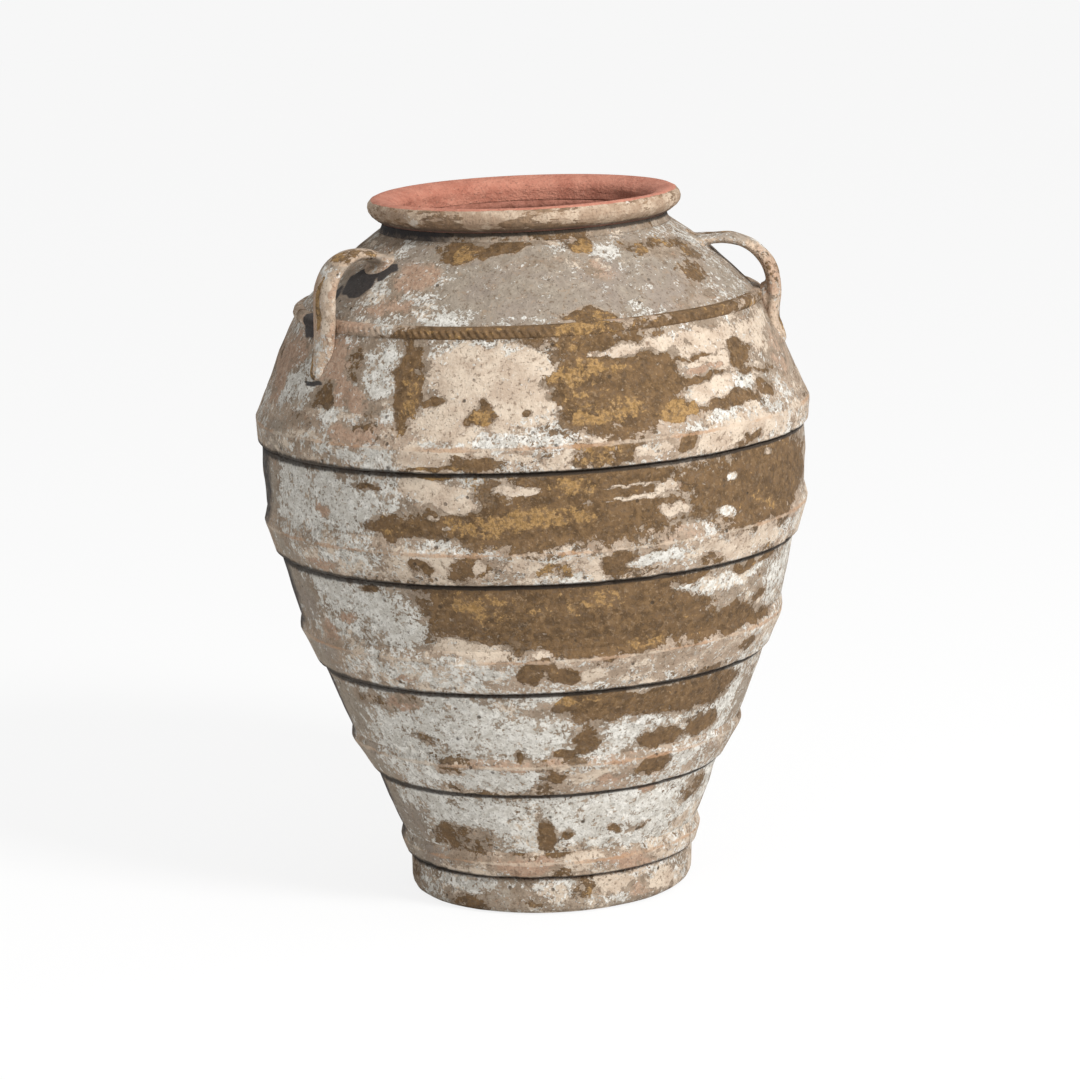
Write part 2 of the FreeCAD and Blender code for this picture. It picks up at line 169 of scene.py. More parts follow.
def cover(mesh, base, patches, ridges=(), grooves=(), hollow=True):
    """Writes each covering's share on the mesh. BASE is the usual share of each covering. PATCHES are laid
    in order as (kind, degrees round from the front, height, half width, half height, strength). RIDGES get
    wear with a painted highlight, and GROOVES get painted shade under a lip. The inside of a HOLLOW piece
    stays clean."""
    co = spots(mesh)
    turn_deg = np.degrees(np.arctan2(co[:, 0], -co[:, 1]))
    height = co[:, 2] * 1000
    wander_round = drift(co, STRAY, 6, 3) * STRAY_ROUND + drift(co, FRAY, 21, 2) * FRAY_ROUND
    wander_up = drift(co, STRAY, 7, 3) * STRAY_UP + drift(co, FRAY, 22, 2) * FRAY_UP
    shares = np.zeros((len(co), len(COVERINGS)))
    for i, kind in enumerate(COVERINGS):
        blotch = drift(co * (1, 1, BLOTCH_FLAT), BLOTCH, 8 + i, 4) * BLOTCH_SHARE
        shares[:, i] = base.get(kind, 0) + blotch * (kind != "shade_patch")
    shares = shares.clip(0, 1)
    for kind, at, up, wide, tall, strength in patches:
        off = (turn_deg + wander_round - at + 180) % 360 - 180
        away = np.hypot(off / wide, (height + wander_up - up) / tall)
        inside = ((PATCH_EDGE - away) / (PATCH_EDGE - PATCH_CORE)).clip(0, 1)
        weight = inside * inside * (3 - 2 * inside) * strength
        shares += (np.array(LAYS[kind]) - shares) * weight[:, None]
    facing = np.empty(len(co) * 3)
    mesh.vertices.foreach_get("normal", facing)
    outward = (facing.reshape(-1, 3)[:, :2] * co[:, :2]).sum(axis=1) / np.hypot(co[:, 0], co[:, 1])
    inner = (-outward * 3).clip(0, 1) * hollow
    shares *= (1 - inner)[:, None]
    mesh.attributes.new("clean", "FLOAT", "POINT").data.foreach_set("value", inner)
    for i, kind in enumerate(COVERINGS):
        mesh.attributes.new(kind, "FLOAT", "POINT").data.foreach_set("value", shares[:, i].clip(0, 1))
    # Painted shade reaches further from a groove on the lee side, away from the lamp.
    lee = (1.2 - np.abs(turn_deg - LEE_SIDE) / LEE_SPREAD).clip(0, 1)
    lines = (("wear_and_highlight", ridges, WEAR_AND_HIGHLIGHT_REACH), ("groove_shade", grooves, GROOVE_SHADE_REACH + LEE_SHADE_WIDENING * lee))
    for name, heights, reach in lines:
        near = np.zeros(len(co))
        for line in heights:
            near = np.maximum(near, (1 - np.abs(height - line) / reach) * (1 - inner))
        mesh.attributes.new(name, "FLOAT", "POINT").data.foreach_set("value", near.clip(0, 1))


class Socket:
    """One output of a node, with arithmetic that adds Math nodes."""

    def __init__(self, recipe, out):
        self.recipe, self.out = recipe, out

    def math(self, operation, first, second):
        return self.recipe.node("ShaderNodeMath", {0: first, 1: second}, operation=operation)

    def __add__(self, other):
        return self.math("ADD", self, other)

    def __sub__(self, other):
        return self.math("SUBTRACT", self, other)

    def __rsub__(self, other):
        return self.math("SUBTRACT", other, self)

    def __mul__(self, other):
        return self.math("MULTIPLY", self, other)

    __radd__ = __add__
    __rmul__ = __mul__

    def step(self, low, high):
        """0 below LOW, 1 above HIGH, smooth between."""
        values = {0: self, 1: low, 2: high, 3: 0.0, 4: 1.0}
        return self.recipe.node("ShaderNodeMapRange", values, interpolation_type="SMOOTHSTEP")


class Recipe:
    """A node tree. Every node in it is added by its node method."""

    def __init__(self, tree):
        self.tree = tree

    def feed(self, end, value):
        if isinstance(value, Socket):
            self.tree.links.new(value.out, end)
        else:
            end.default_value = value

    def node(self, kind, values, out=0, **settings):
        made = self.tree.nodes.new(kind)
        for setting, choice in settings.items():
            setattr(made, setting, choice)
        for key, value in values.items():
            self.feed(made.inputs[key], value)
        return Socket(self, made.outputs[out])


class Clay(Recipe):
    """A material for fired clay."""

    def __init__(self, name):
        self.material = bpy.data.materials.new(name)
        self.material.use_nodes = True
        super().__init__(self.material.node_tree)
        self.place = self.node("ShaderNodeTexCoord", {}, out="Object")

    def share(self, name):
        return self.node("ShaderNodeAttribute", {}, out="Fac", attribute_name=name)

    def grain(self, scale, detail, rough, warp=0.0, stretch=1.0, shift=0.0):
        """Noise with SCALE features to the metre, flattened by STRETCH."""
        values = {"Vector": self.place, "Location": (shift, shift, shift), "Scale": (1, 1, stretch)}
        place = self.node("ShaderNodeMapping", values)
        values = {"Vector": place, "Scale": scale, "Detail": detail, "Roughness": rough, "Distortion": warp}
        return self.node("ShaderNodeTexNoise", values, out="Fac")

    def mix(self, share, under, over):
        """OVER laid on UNDER. A Mix node's colours are its inputs 6 and 7 and its output 2."""
        under, over = (paint if isinstance(paint, Socket) else (*paint, 1) for paint in (under, over))
        return self.node("ShaderNodeMix", {0: share, 6: under, 7: over}, out=2, data_type="RGBA")

    def finish(self, colour, rough, bumps):
        """Sets the shader. BUMPS are (height, strength, distance), each laid on the one before."""
        ends = self.tree.nodes["Principled BSDF"].inputs
        self.feed(ends["Base Color"], colour)
        self.feed(ends["Roughness"], rough)
        self.feed(ends["Specular IOR Level"], 0.25)
        felt = {}
        for height, strength, distance in bumps:
            values = {"Height": height, "Strength": strength, "Distance": distance, **felt}
            felt = {"Normal": self.node("ShaderNodeBump", values, out="Normal")}
        self.feed(ends["Normal"], felt["Normal"])
        return self.material


def bare_ground(clay, grain, light, dark):
    """The clay itself, speckled, with pink and grey stains."""
    umber, chalky, rust = (0.22, 0.165, 0.115), (0.46, 0.41, 0.345), (0.34, 0.20, 0.12)
    ground = clay.mix(grain.mid.step(0.38, 0.62), dark, light)
    ground = clay.mix(grain.fine.step(0.5, 0.64) * 0.55, ground, umber)
    ground = clay.mix(grain.small.step(0.54, 0.66) * 0.5, ground, chalky)
    ground = clay.mix(grain.flecks.step(0.56, 0.66) * 0.5, ground, rust)

    pink_dark, pink_light, pink_bloom = (0.28, 0.165, 0.105), (0.45, 0.30, 0.21), (0.47, 0.39, 0.31)
    pink = (clay.share("pink") + grain.edge * 0.9).step(0.36, 0.66)
    stain = clay.mix(grain.small.step(0.35, 0.65), pink_dark, pink_light)
    stain = clay.mix(grain.fine.step(0.5, 0.66) * 0.5, stain, pink_bloom)
    ground = clay.mix(pink * 0.8, ground, stain)

    grey_dark, grey_light = (0.225, 0.19, 0.15), (0.325, 0.28, 0.225)
    grey_shade, grey_rust = (0.235, 0.19, 0.165), (0.30, 0.215, 0.135)
    grey = (clay.share("grey") + grain.edge * 0.6).step(0.35, 0.7)
    stain = clay.mix(grain.small.step(0.34, 0.66), grey_dark, grey_light)
    stain = clay.mix(grain.broad.step(0.45, 0.62) * 0.5, stain, grey_shade)
    stain = clay.mix(grain.flecks.step(0.54, 0.66) * 0.4, stain, grey_rust)
    return clay.mix(grey * 0.8, ground, stain)


def old_slip(clay, grain):
    """The share and the colour of the pale slip that the jar was washed with."""
    slip_dark, slip_light = (0.45, 0.35, 0.265), (0.59, 0.49, 0.385)
    slip_grime, slip_chalk = (0.33, 0.25, 0.18), (0.66, 0.58, 0.49)
    share = (clay.share("slip") + grain.edge * 0.85).step(0.44, 0.54)
    colour = clay.mix(grain.mid.step(0.38, 0.62), slip_dark, slip_light)
    colour = clay.mix(grain.small.step(0.55, 0.68) * 0.45, colour, slip_grime)
    return share, clay.mix(grain.fine.step(0.54, 0.66) * 0.35, colour, slip_chalk)


def lime_skin(clay, grain):
    """The share and the colour of the lime that ground water left."""
    lime_dark, lime_light = (0.49, 0.465, 0.415), (0.73, 0.71, 0.66)
    ragged = clay.share("lime") + grain.edge_two * 1.25 + (grain.fine - 0.5) * 1.3
    return ragged.step(0.41, 0.58), clay.mix(grain.small.step(0.38, 0.62), lime_dark, lime_light)


def brown_crust(clay, grain):
    """The share and the colour of the brown crust of earth, with grit and ochre lichen on it."""
    crust_dark, crust_light, crust_mid = (0.072, 0.039, 0.014), (0.165, 0.094, 0.038), (0.145, 0.08, 0.032)
    grit_colour, ochre_dark, ochre_light = (0.30, 0.205, 0.12), (0.23, 0.13, 0.038), (0.39, 0.235, 0.09)
    ragged = clay.share("brown") + grain.edge_two * 0.72 + (grain.small - 0.5) * 0.5
    colour = clay.mix(grain.small.step(0.38, 0.64), crust_dark, crust_light)
    colour = clay.mix(grain.mid.step(0.45, 0.6) * 0.6, colour, crust_mid)
    grit = clay.grain(210, 4, 0.62, shift=9.4).step(0.57, 0.66)
    colour = clay.mix(grit * 0.5, colour, grit_colour)
    lichen = clay.share("ochre") * 0.42 + (grain.flecks - 0.5) * 0.9
    lichen = (lichen + (grain.mid - 0.5) * 1.1 + (grain.fine - 0.5) * 0.4).step(0.26, 0.4)
    ochre = clay.mix(grain.fine.step(0.4, 0.6), ochre_dark, ochre_light)
    return ragged.step(0.46, 0.54), clay.mix(lichen * 0.85, colour, ochre)


def rubbed(clay, grain, colour):
    """COLOUR with dark specks, and along its ridges a band that mixes real wear, rubbed red, with a pale
    painted highlight.
    """
    speck_colour, pale_rub_and_highlight, rubbed_red = (0.13, 0.085, 0.05), (0.56, 0.46, 0.36), (0.42, 0.25, 0.145)
    specks = clay.grain(170, 5, 0.6, shift=4.4) + clay.share("brown") * 0.05
    colour = clay.mix(specks.step(0.58, 0.65) * 0.6, colour, speck_colour)
    # Real wear mixed with a painted highlight along the crests.
    wear_and_highlight = (clay.share("wear_and_highlight") + (grain.mid - 0.5) * 2.0 + (grain.small - 0.5) * 0.8).step(0.5, 0.85)
    return clay.mix(wear_and_highlight * 0.65, colour, clay.mix(grain.broad.step(0.4, 0.6), pale_rub_and_highlight, rubbed_red))


PITS_PER_METRE = 75.0


def burst_pits(clay):
    """The share of the pits that bursting grit left, in a few of the pattern's cells."""
    values = {"Vector": clay.place, "Scale": PITS_PER_METRE}
    away = clay.node("ShaderNodeTexVoronoi", values, out="Distance")
    which = clay.node("ShaderNodeTexVoronoi", values, out="Color")
    chosen = clay.node("ShaderNodeSeparateColor", {"Color": which}, out="Red").step(0.80, 0.98)
    return (0.22 - away).step(0.0, 0.1) * chosen


def weathered_clay(name, bare_light, bare_dark):
    """Terracotta under old slip, lime, brown crust and ochre lichen, with painted shade under lips and
    where shadows fall, painted highlights on ridges, and a clean red inside.
    """
    clay = Clay(name)
    grain = SimpleNamespace(
        broad=clay.grain(11, 3, 0.55),
        mid=clay.grain(34, 5, 0.64, stretch=1.5),
        small=clay.grain(95, 5, 0.7, warp=0.4, shift=3.1),
        fine=clay.grain(260, 4, 0.68, shift=1.7),
        flecks=clay.grain(130, 4, 0.6, warp=0.6, shift=7.3),
    )
    grain.edge = (grain.mid - 0.5) * 1.5 + (grain.small - 0.5) * 1.5 + (grain.fine - 0.5) * 0.9
    other = clay.grain(42, 6, 0.68, stretch=1.3, shift=5.9)
    grain.edge_two = (other - 0.5) * 1.9 + (grain.flecks - 0.5) * 1.2 + (grain.fine - 0.5) * 0.6

    slip, slip_colour = old_slip(clay, grain)
    lime, lime_colour = lime_skin(clay, grain)
    brown, brown_colour = brown_crust(clay, grain)
    colour = clay.mix(slip * 0.93, bare_ground(clay, grain, bare_light, bare_dark), slip_colour)
    colour = clay.mix(lime * 0.9, colour, lime_colour)
    colour = clay.mix(brown * 0.93, colour, brown_colour)
    colour = rubbed(clay, grain, colour)

    pit_dark, pore_dark = (0.05, 0.035, 0.022), (0.09, 0.065, 0.045)
    pit = burst_pits(clay)
    colour = clay.mix(pit * 0.8, colour, pit_dark)
    pores = clay.grain(420, 2, 0.5, shift=2.2).step(0.62, 0.69)
    colour = clay.mix(pores * 0.5, colour, pore_dark)

    # Painted shade: a dark line under each lip, and dark sheets where shadows fall.
    groove_shade_colour, shade_patch_colour = (0.03, 0.024, 0.019), (0.03, 0.028, 0.03)
    red_dark, red_light = (0.27, 0.105, 0.07), (0.40, 0.17, 0.12)
    groove_shade = (clay.share("groove_shade") + (grain.small - 0.5) * 0.7).step(0.3, 0.65)
    colour = clay.mix(groove_shade * 0.9, colour, groove_shade_colour)
    # Dark sheets of painted shade where shadows fall.
    shade_patch = (clay.share("shade_patch") + (grain.small - 0.5) * 0.5).step(0.35, 0.65)
    colour = clay.mix(shade_patch * 0.9, colour, shade_patch_colour)
    red = clay.mix(grain.small.step(0.35, 0.65), red_dark, red_light)
    colour = clay.mix(clay.share("clean").step(0.3, 0.7), colour, red)

    rough = 0.88 + (grain.small - 0.5) * 0.2
    bumps = [
        (slip * 0.5 + lime * 0.35 + brown * 0.6, 0.6, 0.0008),
        (grain.small + grain.fine * 0.5, 0.9, 0.003),
        (clay.grain(900, 2, 0.6), 0.35, 0.0007),
        (1 - (pit + pores * 0.3), 0.7, 0.0016),
    ]
    return clay.finish(colour, rough, bumps)


jar_clay = weathered_clay("jar_clay", (0.36, 0.285, 0.215), (0.23, 0.175, 0.125))


def mesh_of(bm, name):
    """The mesh of a finished bmesh."""
    mesh = bpy.data.meshes.new(name)
    bm.to_mesh(mesh)
    bm.free()
    return mesh


def put(name, data):
    """A new object in the scene."""
    thing = bpy.data.objects.new(name, data)
    bpy.context.scene.collection.objects.link(thing)
    return thing


def show(bm, name, node, material, ridges=(), wear=0.0):
    """Makes the finished piece, in place of the plain CAD node of the same part of the jar."""
    mesh = mesh_of(bm, name)
    shape_by_hand(mesh, ridges, wear)
    mesh.shade_smooth()
    mesh.materials.append(material)
    piece = put(name, mesh)
    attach(piece, "root")
    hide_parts(node)
    return piece


# The slab's outline starts a hair off the axis; its poles are then merged.
slab = turn([(0.01, 0.4, 8), (150, 0.4, 8), (150, 24, 8), (0.01, 24, 8)], around=96)
POLE = 0.0001
bmesh.ops.remove_doubles(slab, verts=slab.verts[:], dist=POLE)
slab_piece = show(slab, "base_slab", "base_disc", jar_clay)
cover(slab_piece.data, {"pink": 0.6}, [])

# The wall's thickness, how far each joint between rings rises to the inside, and the joints' outer edges
# as (radius, height) in millimetres.
WALL_THICK, JOINT_SLANT = 20, 8
JOINTS = ((182.75, 68.5), (231.75, 192), (291.25, 336.5), (329, 478.5), (333.5, 620.5))


def inner_edge(joint):
    return joint[0] - WALL_THICK, joint[1] + JOINT_SLANT


foot = turn(
    [
        (150, 0, 2),
        (163, 0, 1),
        (168.5, 1.4, 1),
        (173.5, 5, 1),
        (176.4, 10.5, 1),
        (177.4, 17, 1),
        (178.3, 46, 0.6),
        (174.5, 49, 0.6),
        (174.5, 52.5, 0.8),
        (178.6, 54.5, 2),
        (*JOINTS[0], 3),
        (*inner_edge(JOINTS[0]), 4),
        (157, 24, 4),
        (150, 24, 4),
    ]
)
foot_piece = show(foot, "foot_ring", "foot_wall", jar_clay)
cover(
    foot_piece.data,
    {"slip": 0.3, "lime": 0.42, "brown": 0.3, "ochre": 0.1},
    [
        ("lime", -55, 28, 14, 26, 0.5),
        ("brown", -38, 14, 12, 12, 0.5),
        ("grey", -20, 30, 8, 22, 0.5),
        ("chalk", 2, 30, 9, 16, 0.8),
        ("lime", -32, 40, 10, 12, 0.8),
        ("lime", 22, 14, 12, 9, 0.7),
        ("ochre", -8, 18, 7, 9, 0.35),
        ("ochre", 14, 24, 8, 14, 0.3),
        ("slip", 27, 36, 10, 10, 0.6),
        ("pink", 40, 24, 10, 10, 0.6),
        ("slip", 52, 26, 12, 10, 0.6),
        ("grey", 33, 8, 14, 8, 0.5),
    ],
    # A painted shade line under the first belt's lip.
    grooves=(51,),
)

# ----------------------------------------
# Wall rings. Four rings of clay rise from the foot to the widest belt, each laid on the last with a
# slanting joint. The gaps in the old slip and the brown crust are where the jar lay in the ground.

# The side away from the front, in degrees, and the patches that fall on it.
REAR_START, REAR_SPAN = 92, 172
REAR_KINDS = "brown slip brown lime ochre slip brown pink chalk brown slip ochre".split()


def rear_patches(low, high, seed):
    """Patches by chance for the side away from the front, between two heights in millimetres."""
    chance = np.random.default_rng(seed)
    patches = []
    for kind in REAR_KINDS:
        at, up, wide, tall = chance.random(4)
        place = (REAR_START + at * REAR_SPAN, low + up * (high - low))
        patches.append((kind, *place, 5 + wide * 13, 6 + tall * (high - low) * 0.3, 0.9))
    return patches


# Each ring's outside as (radius, height): the crest's end below, and the wall's end and groove above.
WALLS = {
    1: ((187, 84), (218, 163), (213.5, 166.5)),
    2: ((245.5, 217), (279.5, 303), (275.5, 307)),
    3: ((302, 364), (321.3, 444.5), (317.5, 448)),
    4: ((336, 507), (338.4, 583.5), (334, 587)),
}
WALL_PATCHES = {
    1: [
        ("grey", -62, 120, 14, 40, 0.8),
        ("lime", -48, 150, 14, 14, 0.9),
        ("lime", -18, 122, 4.5, 36, 1),
        ("lime", -22, 150, 10, 10, 0.9),
        ("brown", -34, 100, 15, 20, 0.72),
        ("grey", -30, 98, 8, 14, 0.4),
        ("chalk", -9, 110, 5, 26, 0.8),
        ("lime", 12, 125, 14, 32, 0.9),
        ("lime", 32, 120, 16, 30, 0.75),
        ("brown", -3, 104, 3.4, 20, 0.95),
        ("brown", 5, 108, 3, 8, 0.9),
        ("brown", 24, 108, 3, 5, 0.8),
        ("brown", 34, 112, 4, 6, 0.6),
        ("pink", 33, 158, 4, 4, 0.8),
        ("brown", 60, 140, 9, 18, 0.6),
        ("slip", 62, 98, 12, 10, 0.6),
    ],
    2: [
        ("grey", -66, 260, 12, 40, 0.8),
        ("brown", -52, 282, 9, 10, 0.5),
        ("pink", -38, 284, 8, 14, 0.8),
        ("brown", -36, 288, 6, 8, 0.5),
        ("lime", -46, 245, 14, 20, 0.75),
        ("brown", -34, 236, 5, 9, 0.6),
        ("lime", -22, 262, 11, 40, 0.85),
        ("lime", -4, 238, 9, 22, 1),
        ("chalk", -8, 290, 6, 12, 0.6),
        ("brown", 14, 284, 11, 20, 1),
        ("brown", 11, 240, 4, 16, 0.9),
        ("brown", 4.5, 222, 3, 8, 0.9),
        ("ochre", 8, 296, 5, 9, 0.7),
        ("lime", 2, 300, 3, 5, 0.8),
        ("brown", 40, 280, 20, 20, 0.95),
        ("lime", 26, 244, 10, 15, 0.9),
        ("brown", 34, 227, 7, 13, 1),
        ("brown", 50, 230, 7, 14, 0.9),
        ("brown", -7, 219, 1.8, 7, 0.9),
        ("lime", 64, 270, 7, 10, 0.5),
        ("grey", 70, 250, 8, 30, 0.6),
    ],
    3: [
        ("lime", -45, 410, 16, 36, 0.75),
        ("brown", -40, 432, 3, 6, 0.7),
        ("pink", -50, 392, 4, 8, 0.7),
        ("grey", -70, 410, 9, 40, 0.8),
        ("pink", -58, 370, 4, 14, 0.7),
        ("lime", -34, 390, 6, 30, 0.6),
        ("brown", -4, 420, 24, 36, 1),
        ("brown", 22, 400, 20, 50, 1),
        ("brown", 12, 370, 15, 16, 1),
        ("slip", -17, 365, 10, 11, 0.9),
        ("brown", 45, 372, 14, 16, 1),
        ("brown", 60, 360, 10, 8, 0.7),
        ("ochre", -9, 412, 9, 18, 0.5),
        ("ochre", 10, 420, 7, 16, 0.5),
        ("ochre", 24, 362, 7, 9, 0.8),
        ("ochre", -20, 428, 6, 10, 0.4),
        ("chalk", 46, 424, 14, 12, 0.85),
        ("chalk", 36, 430, 6, 5, 0.7),
        ("brown", 36, 441, 4, 5, 0.9),
        ("brown", 52, 438, 5, 7, 0.9),
        ("brown", 61, 438, 3, 5, 0.8),
        ("brown", 60, 391, 3, 6, 0.9),
        ("lime", 66, 412, 4, 18, 0.6),
    ],
    4: [
        ("lime", -62, 548, 14, 40, 0.75),
        ("lime", -42, 540, 12, 38, 0.7),
        ("pink", -50, 528, 3, 9, 0.7),
        ("brown", -38, 566, 3, 5, 0.8),
        ("grey", -74, 540, 6, 40, 0.7),
        ("brown", -33, 522, 6, 9, 0.75),
        ("brown", -27, 512, 7, 11, 1),
        ("brown", 2, 524, 26, 28, 1),
        ("brown", 14, 565, 18, 22, 1),
        ("brown", 54, 540, 24, 50, 1),
        ("slip", -22, 562, 8, 14, 1),
        ("slip", -15, 546, 5, 9, 0.9),
        ("slip", -3, 564, 5, 6, 0.9),
        ("slip", -27, 575, 4, 8, 0.6),
        ("ochre", -22, 581, 6, 3, 0.9),
        ("slip", -21, 528, 1.4, 4, 0.9),
        ("slip", -18.5, 516, 1.2, 3, 0.9),
        ("ochre", -10, 522, 9, 14, 0.8),
        ("ochre", 4, 532, 9, 14, 0.8),
        ("ochre", 8, 568, 5, 13, 0.95),
        ("ochre", -28, 516, 5, 8, 0.5),
        ("slip", 20, 562, 6, 2.5, 0.75),
        ("slip", 22, 545, 7, 2.5, 0.75),
        ("slip", 28, 556, 4, 8, 0.8),
        ("slip", 30, 525, 3.4, 9, 0.85),
        ("chalk", 44, 558, 1.8, 6, 0.95),
        ("chalk", 43.5, 514, 3.6, 7, 1),
        ("slip", 57, 573, 2, 4, 0.8),
        ("ochre", 60, 520, 10, 16, 0.35),
    ],
}
WALL_BASE = {
    1: {"slip": 0.4, "lime": 0.6, "brown": 0.17, "ochre": 0.1},
    2: {"slip": 0.36, "lime": 0.56, "brown": 0.22, "ochre": 0.1},
    3: {"slip": 0.32, "lime": 0.5, "brown": 0.28, "ochre": 0.15},
    4: {"slip": 0.34, "lime": 0.48, "brown": 0.28, "ochre": 0.2},
}

# How far a ring bows out between its belts, and how far under a lip the line of painted shade lies.
WALL_BOW = 1.2
UNDER_LIP = 3
for number, (wall_low, wall_up, groove) in WALLS.items():
    joint_low, joint_up = JOINTS[number - 1 : number + 1]
    middle = (joint_low[1] + joint_up[1]) / 2
    # A sheet of painted shade down the lee edge of every ring.
    WALL_PATCHES[number].append(("shade_patch", -84, middle, 13, 90, 0.6))
    WALL_PATCHES[number] += rear_patches(joint_low[1], joint_up[1], number)
    ring = turn(
        [
            (*joint_low, 3),
            (*wall_low, 1),
            ((wall_low[0] + wall_up[0]) / 2 + WALL_BOW, (wall_low[1] + wall_up[1]) / 2, 1),
            (*wall_up, 0.7),
            (*groove, 0.8),
            (groove[0] + 0.6, groove[1] + 3, 2),
            (*joint_up, 3),
            (*inner_edge(joint_up), 4),
            (*inner_edge(joint_low), 4),
        ]
    )
    piece = show(ring, f"wall_{number}", f"wall_ring_{number}", jar_clay)
    cover(piece.data, WALL_BASE[number], WALL_PATCHES[number], grooves=(groove[1] - UNDER_LIP,))

# ----------------------------------------
# Upper wall. The last wall ring leans in from the widest belt to the shoulder's corner. It kept the
# largest patch of pale slip, at the front, between a brown crust and ochre lichen.

upper = turn(
    [
        (*JOINTS[4], 3),
        (328.5, 652, 1),
        (311.8, 694, 1),
        (291, 737, 2),
        (287, 745, 3),
        (267, 741, 4),
        (*inner_edge(JOINTS[4]), 4),
    ]
)
upper_piece = show(upper, "wall_5", "wall_ring_5", jar_clay)
WALL_PATCHES[5] = [
    ("pink", -70, 690, 12, 40, 0.6),
    ("lime", -62, 668, 7, 24, 0.8),
    ("pink", -46, 686, 9, 46, 0.7),
    ("brown", -51, 664, 4, 20, 0.75),
    ("lime", -57, 706, 4, 18, 0.7),
    ("brown", -42, 704, 3, 22, 0.65),
    ("chalk", -46, 642, 8, 10, 0.75),
    ("lime", -36, 694, 5, 26, 0.95),
    ("lime", -33, 722, 3, 10, 0.9),
    ("lime", -31, 648, 3.5, 12, 0.9),
    ("brown", -27, 682, 4.4, 48, 1),
    ("ochre", -26, 690, 3, 24, 0.6),
    ("ochre", -25, 650, 3, 16, 0.7),
    ("slip", -11, 705, 13, 24, 1),
    ("slip", -8, 668, 12, 30, 1),
    ("slip", -18, 640, 6, 16, 1),
    ("brown", 20, 690, 15, 60, 1),
    ("slip", 0, 700, 4, 25, 1),
    ("ochre", -11, 651, 2.6, 12, 1),
    ("brown", -9.5, 664, 2, 5, 1),
    ("brown", -20, 670, 2.2, 4, 1),
    ("brown", -1.2, 652, 1.3, 4.5, 1),
    ("ochre", 11, 696, 8, 14, 1),
    ("ochre", 15, 650, 9, 14, 1),
    ("ochre", 32, 643, 5.5, 11, 1),
    ("ochre", 8, 672, 4, 8, 0.8),
    ("ochre", 12, 728, 7, 8, 0.6),
    ("slip", 20, 716, 5, 6, 0.9),
    ("slip", 34, 722, 14, 9, 0.75),
    ("slip", 48, 700, 12, 26, 0.85),
    ("slip", 43, 660, 8, 13, 0.95),
    ("chalk", 52, 655, 8, 10, 0.8),
    ("brown", 54, 690, 4.5, 17, 1),
    ("brown", 40, 697, 8, 3.5, 0.75),
    ("brown", 36, 672, 11, 4, 0.85),
    ("brown", 62, 668, 8, 4, 0.75),
    ("brown", 47, 640, 9, 9, 0.85),
    ("pink", 42, 682, 6, 5, 0.7),
    ("brown", 60, 650, 4, 9, 0.8),
    ("slip", 70, 700, 9, 34, 0.6),
    ("pink", 74, 680, 8, 30, 0.5),
    # Painted shadow of the left handle on the wall.
    ("shade_patch", -66, 737, 4.5, 14, 1),
    ("shade_patch", -56, 681, 3.2, 4.5, 0.9),
]
WALL_PATCHES[5] += rear_patches(640, 745, 5)
WALL_BASE[5] = {"slip": 0.3, "lime": 0.34, "brown": 0.28, "ochre": 0.2, "pink": 0.25}
cover(upper_piece.data, WALL_BASE[5], WALL_PATCHES[5])
